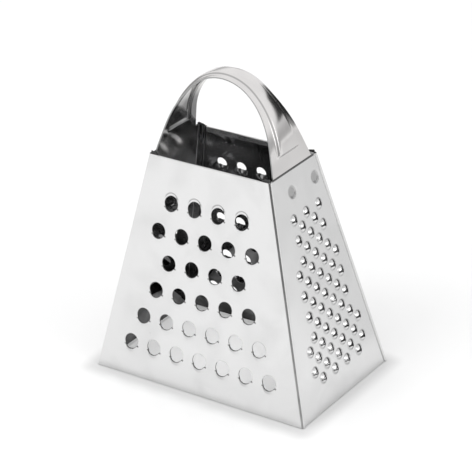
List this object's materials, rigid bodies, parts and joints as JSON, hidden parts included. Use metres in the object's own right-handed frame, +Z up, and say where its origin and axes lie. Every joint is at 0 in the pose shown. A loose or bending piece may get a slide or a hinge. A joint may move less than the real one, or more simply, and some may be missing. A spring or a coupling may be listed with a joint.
{
  "type": "box grater",
  "caption": "Tapered sheet-steel box grater with coarse, medium and fine grating sides, a slicing side, open top and base, and an arched strap handle.",
  "frame": {"origin": "middle of the open base, on the surface that the grater stands on", "axes": "+Z up towards the handle, -Y out of the coarse grating panel, +X out of the fine grating panel; the handle's arch spans X"},
  "size_m": [0.1072, 0.0672, 0.1373],
  "materials": {
    "panel_steel": "bright rolled sheet steel, lightly satin outside, darker and glossy inside",
    "handle_steel": "polished sheet steel",
    "weld_steel": "dull grey heat-marked steel"
  },
  "bodies": {
    "root": {"front_panel": "panel_steel", "back_panel": "panel_steel", "right_panel": "panel_steel", "left_panel": "panel_steel", "handle": "handle_steel", "spot_welds": "weld_steel"}
  },
  "joints": []
}
